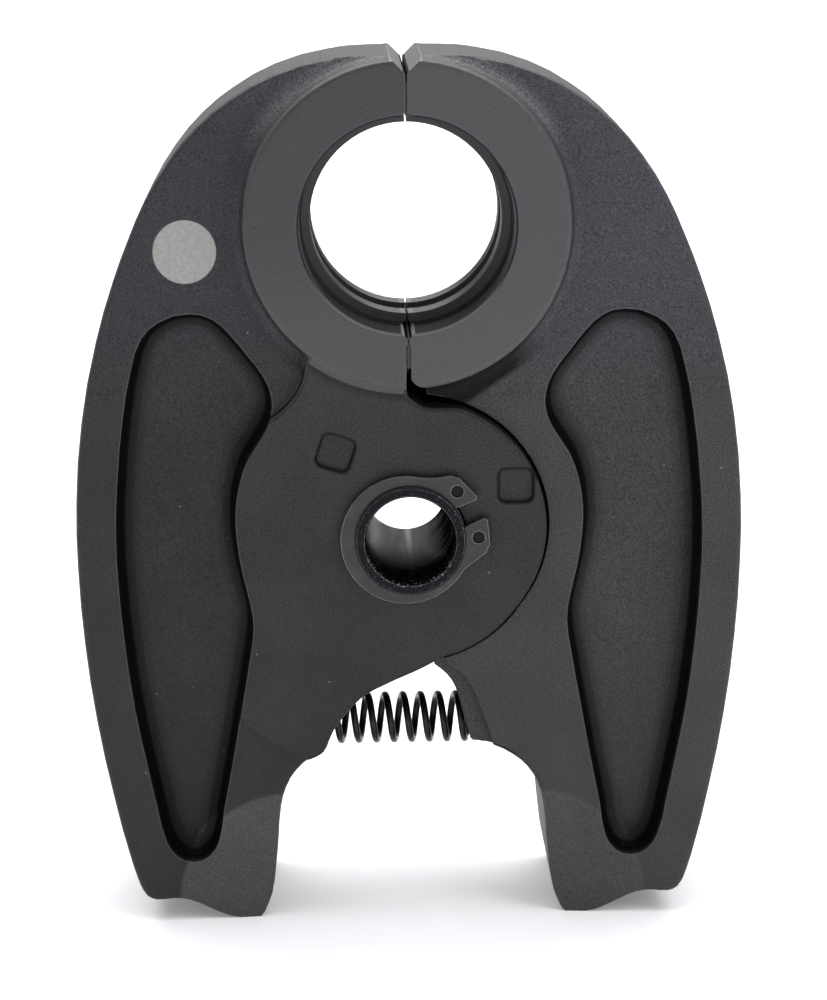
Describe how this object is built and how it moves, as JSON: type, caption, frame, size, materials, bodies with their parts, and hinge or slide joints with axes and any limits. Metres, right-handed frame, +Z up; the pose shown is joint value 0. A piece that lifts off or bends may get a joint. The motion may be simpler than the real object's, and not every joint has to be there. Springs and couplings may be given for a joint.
{
  "type": "press fitting tool jaw",
  "caption": "Scissor press jaw: two lapped forged arms on a hollow pivot bush, closing a split press ring above open roller tails, with a spring between the arms.",
  "frame": {"origin": "on the floor between the two feet, under the pivot axis, in the middle of the thickness", "axes": "+Z up through the pivot and the press ring, -Y towards the front, +X to the right arm"},
  "size_m": [0.1086, 0.0376, 0.1435],
  "materials": {
    "forged_steel": "blasted and phosphated, matte dark grey with a fine grain",
    "black_steel": "ground and blackened, satin",
    "spring_steel": "phosphated, with bright worn edges"
  },
  "bodies": {
    "left_arm": {"left_arm": "forged_steel", "spring": "black_steel"},
    "right_arm": {"right_arm": "forged_steel"},
    "pivot": {"pivot_bush": "black_steel", "front_retaining_ring": "spring_steel", "back_retaining_ring": "spring_steel"}
  },
  "joints": [
    {"name": "jaw_hinge", "type": "hinge", "parent": "left_arm", "child": "right_arm", "pos_m": [0, 0, 0.0662], "axis": [0, 1, 0], "range_deg": [0, 25], "stiffness_Nm_per_rad": 1.1, "springref_deg": -21.2, "deforming": ["spring"]},
    {"name": "bush_turn", "type": "hinge", "parent": "left_arm", "child": "pivot", "pos_m": [0, 0, 0.0662], "axis": [0, 1, 0], "continuous": true}
  ]
}
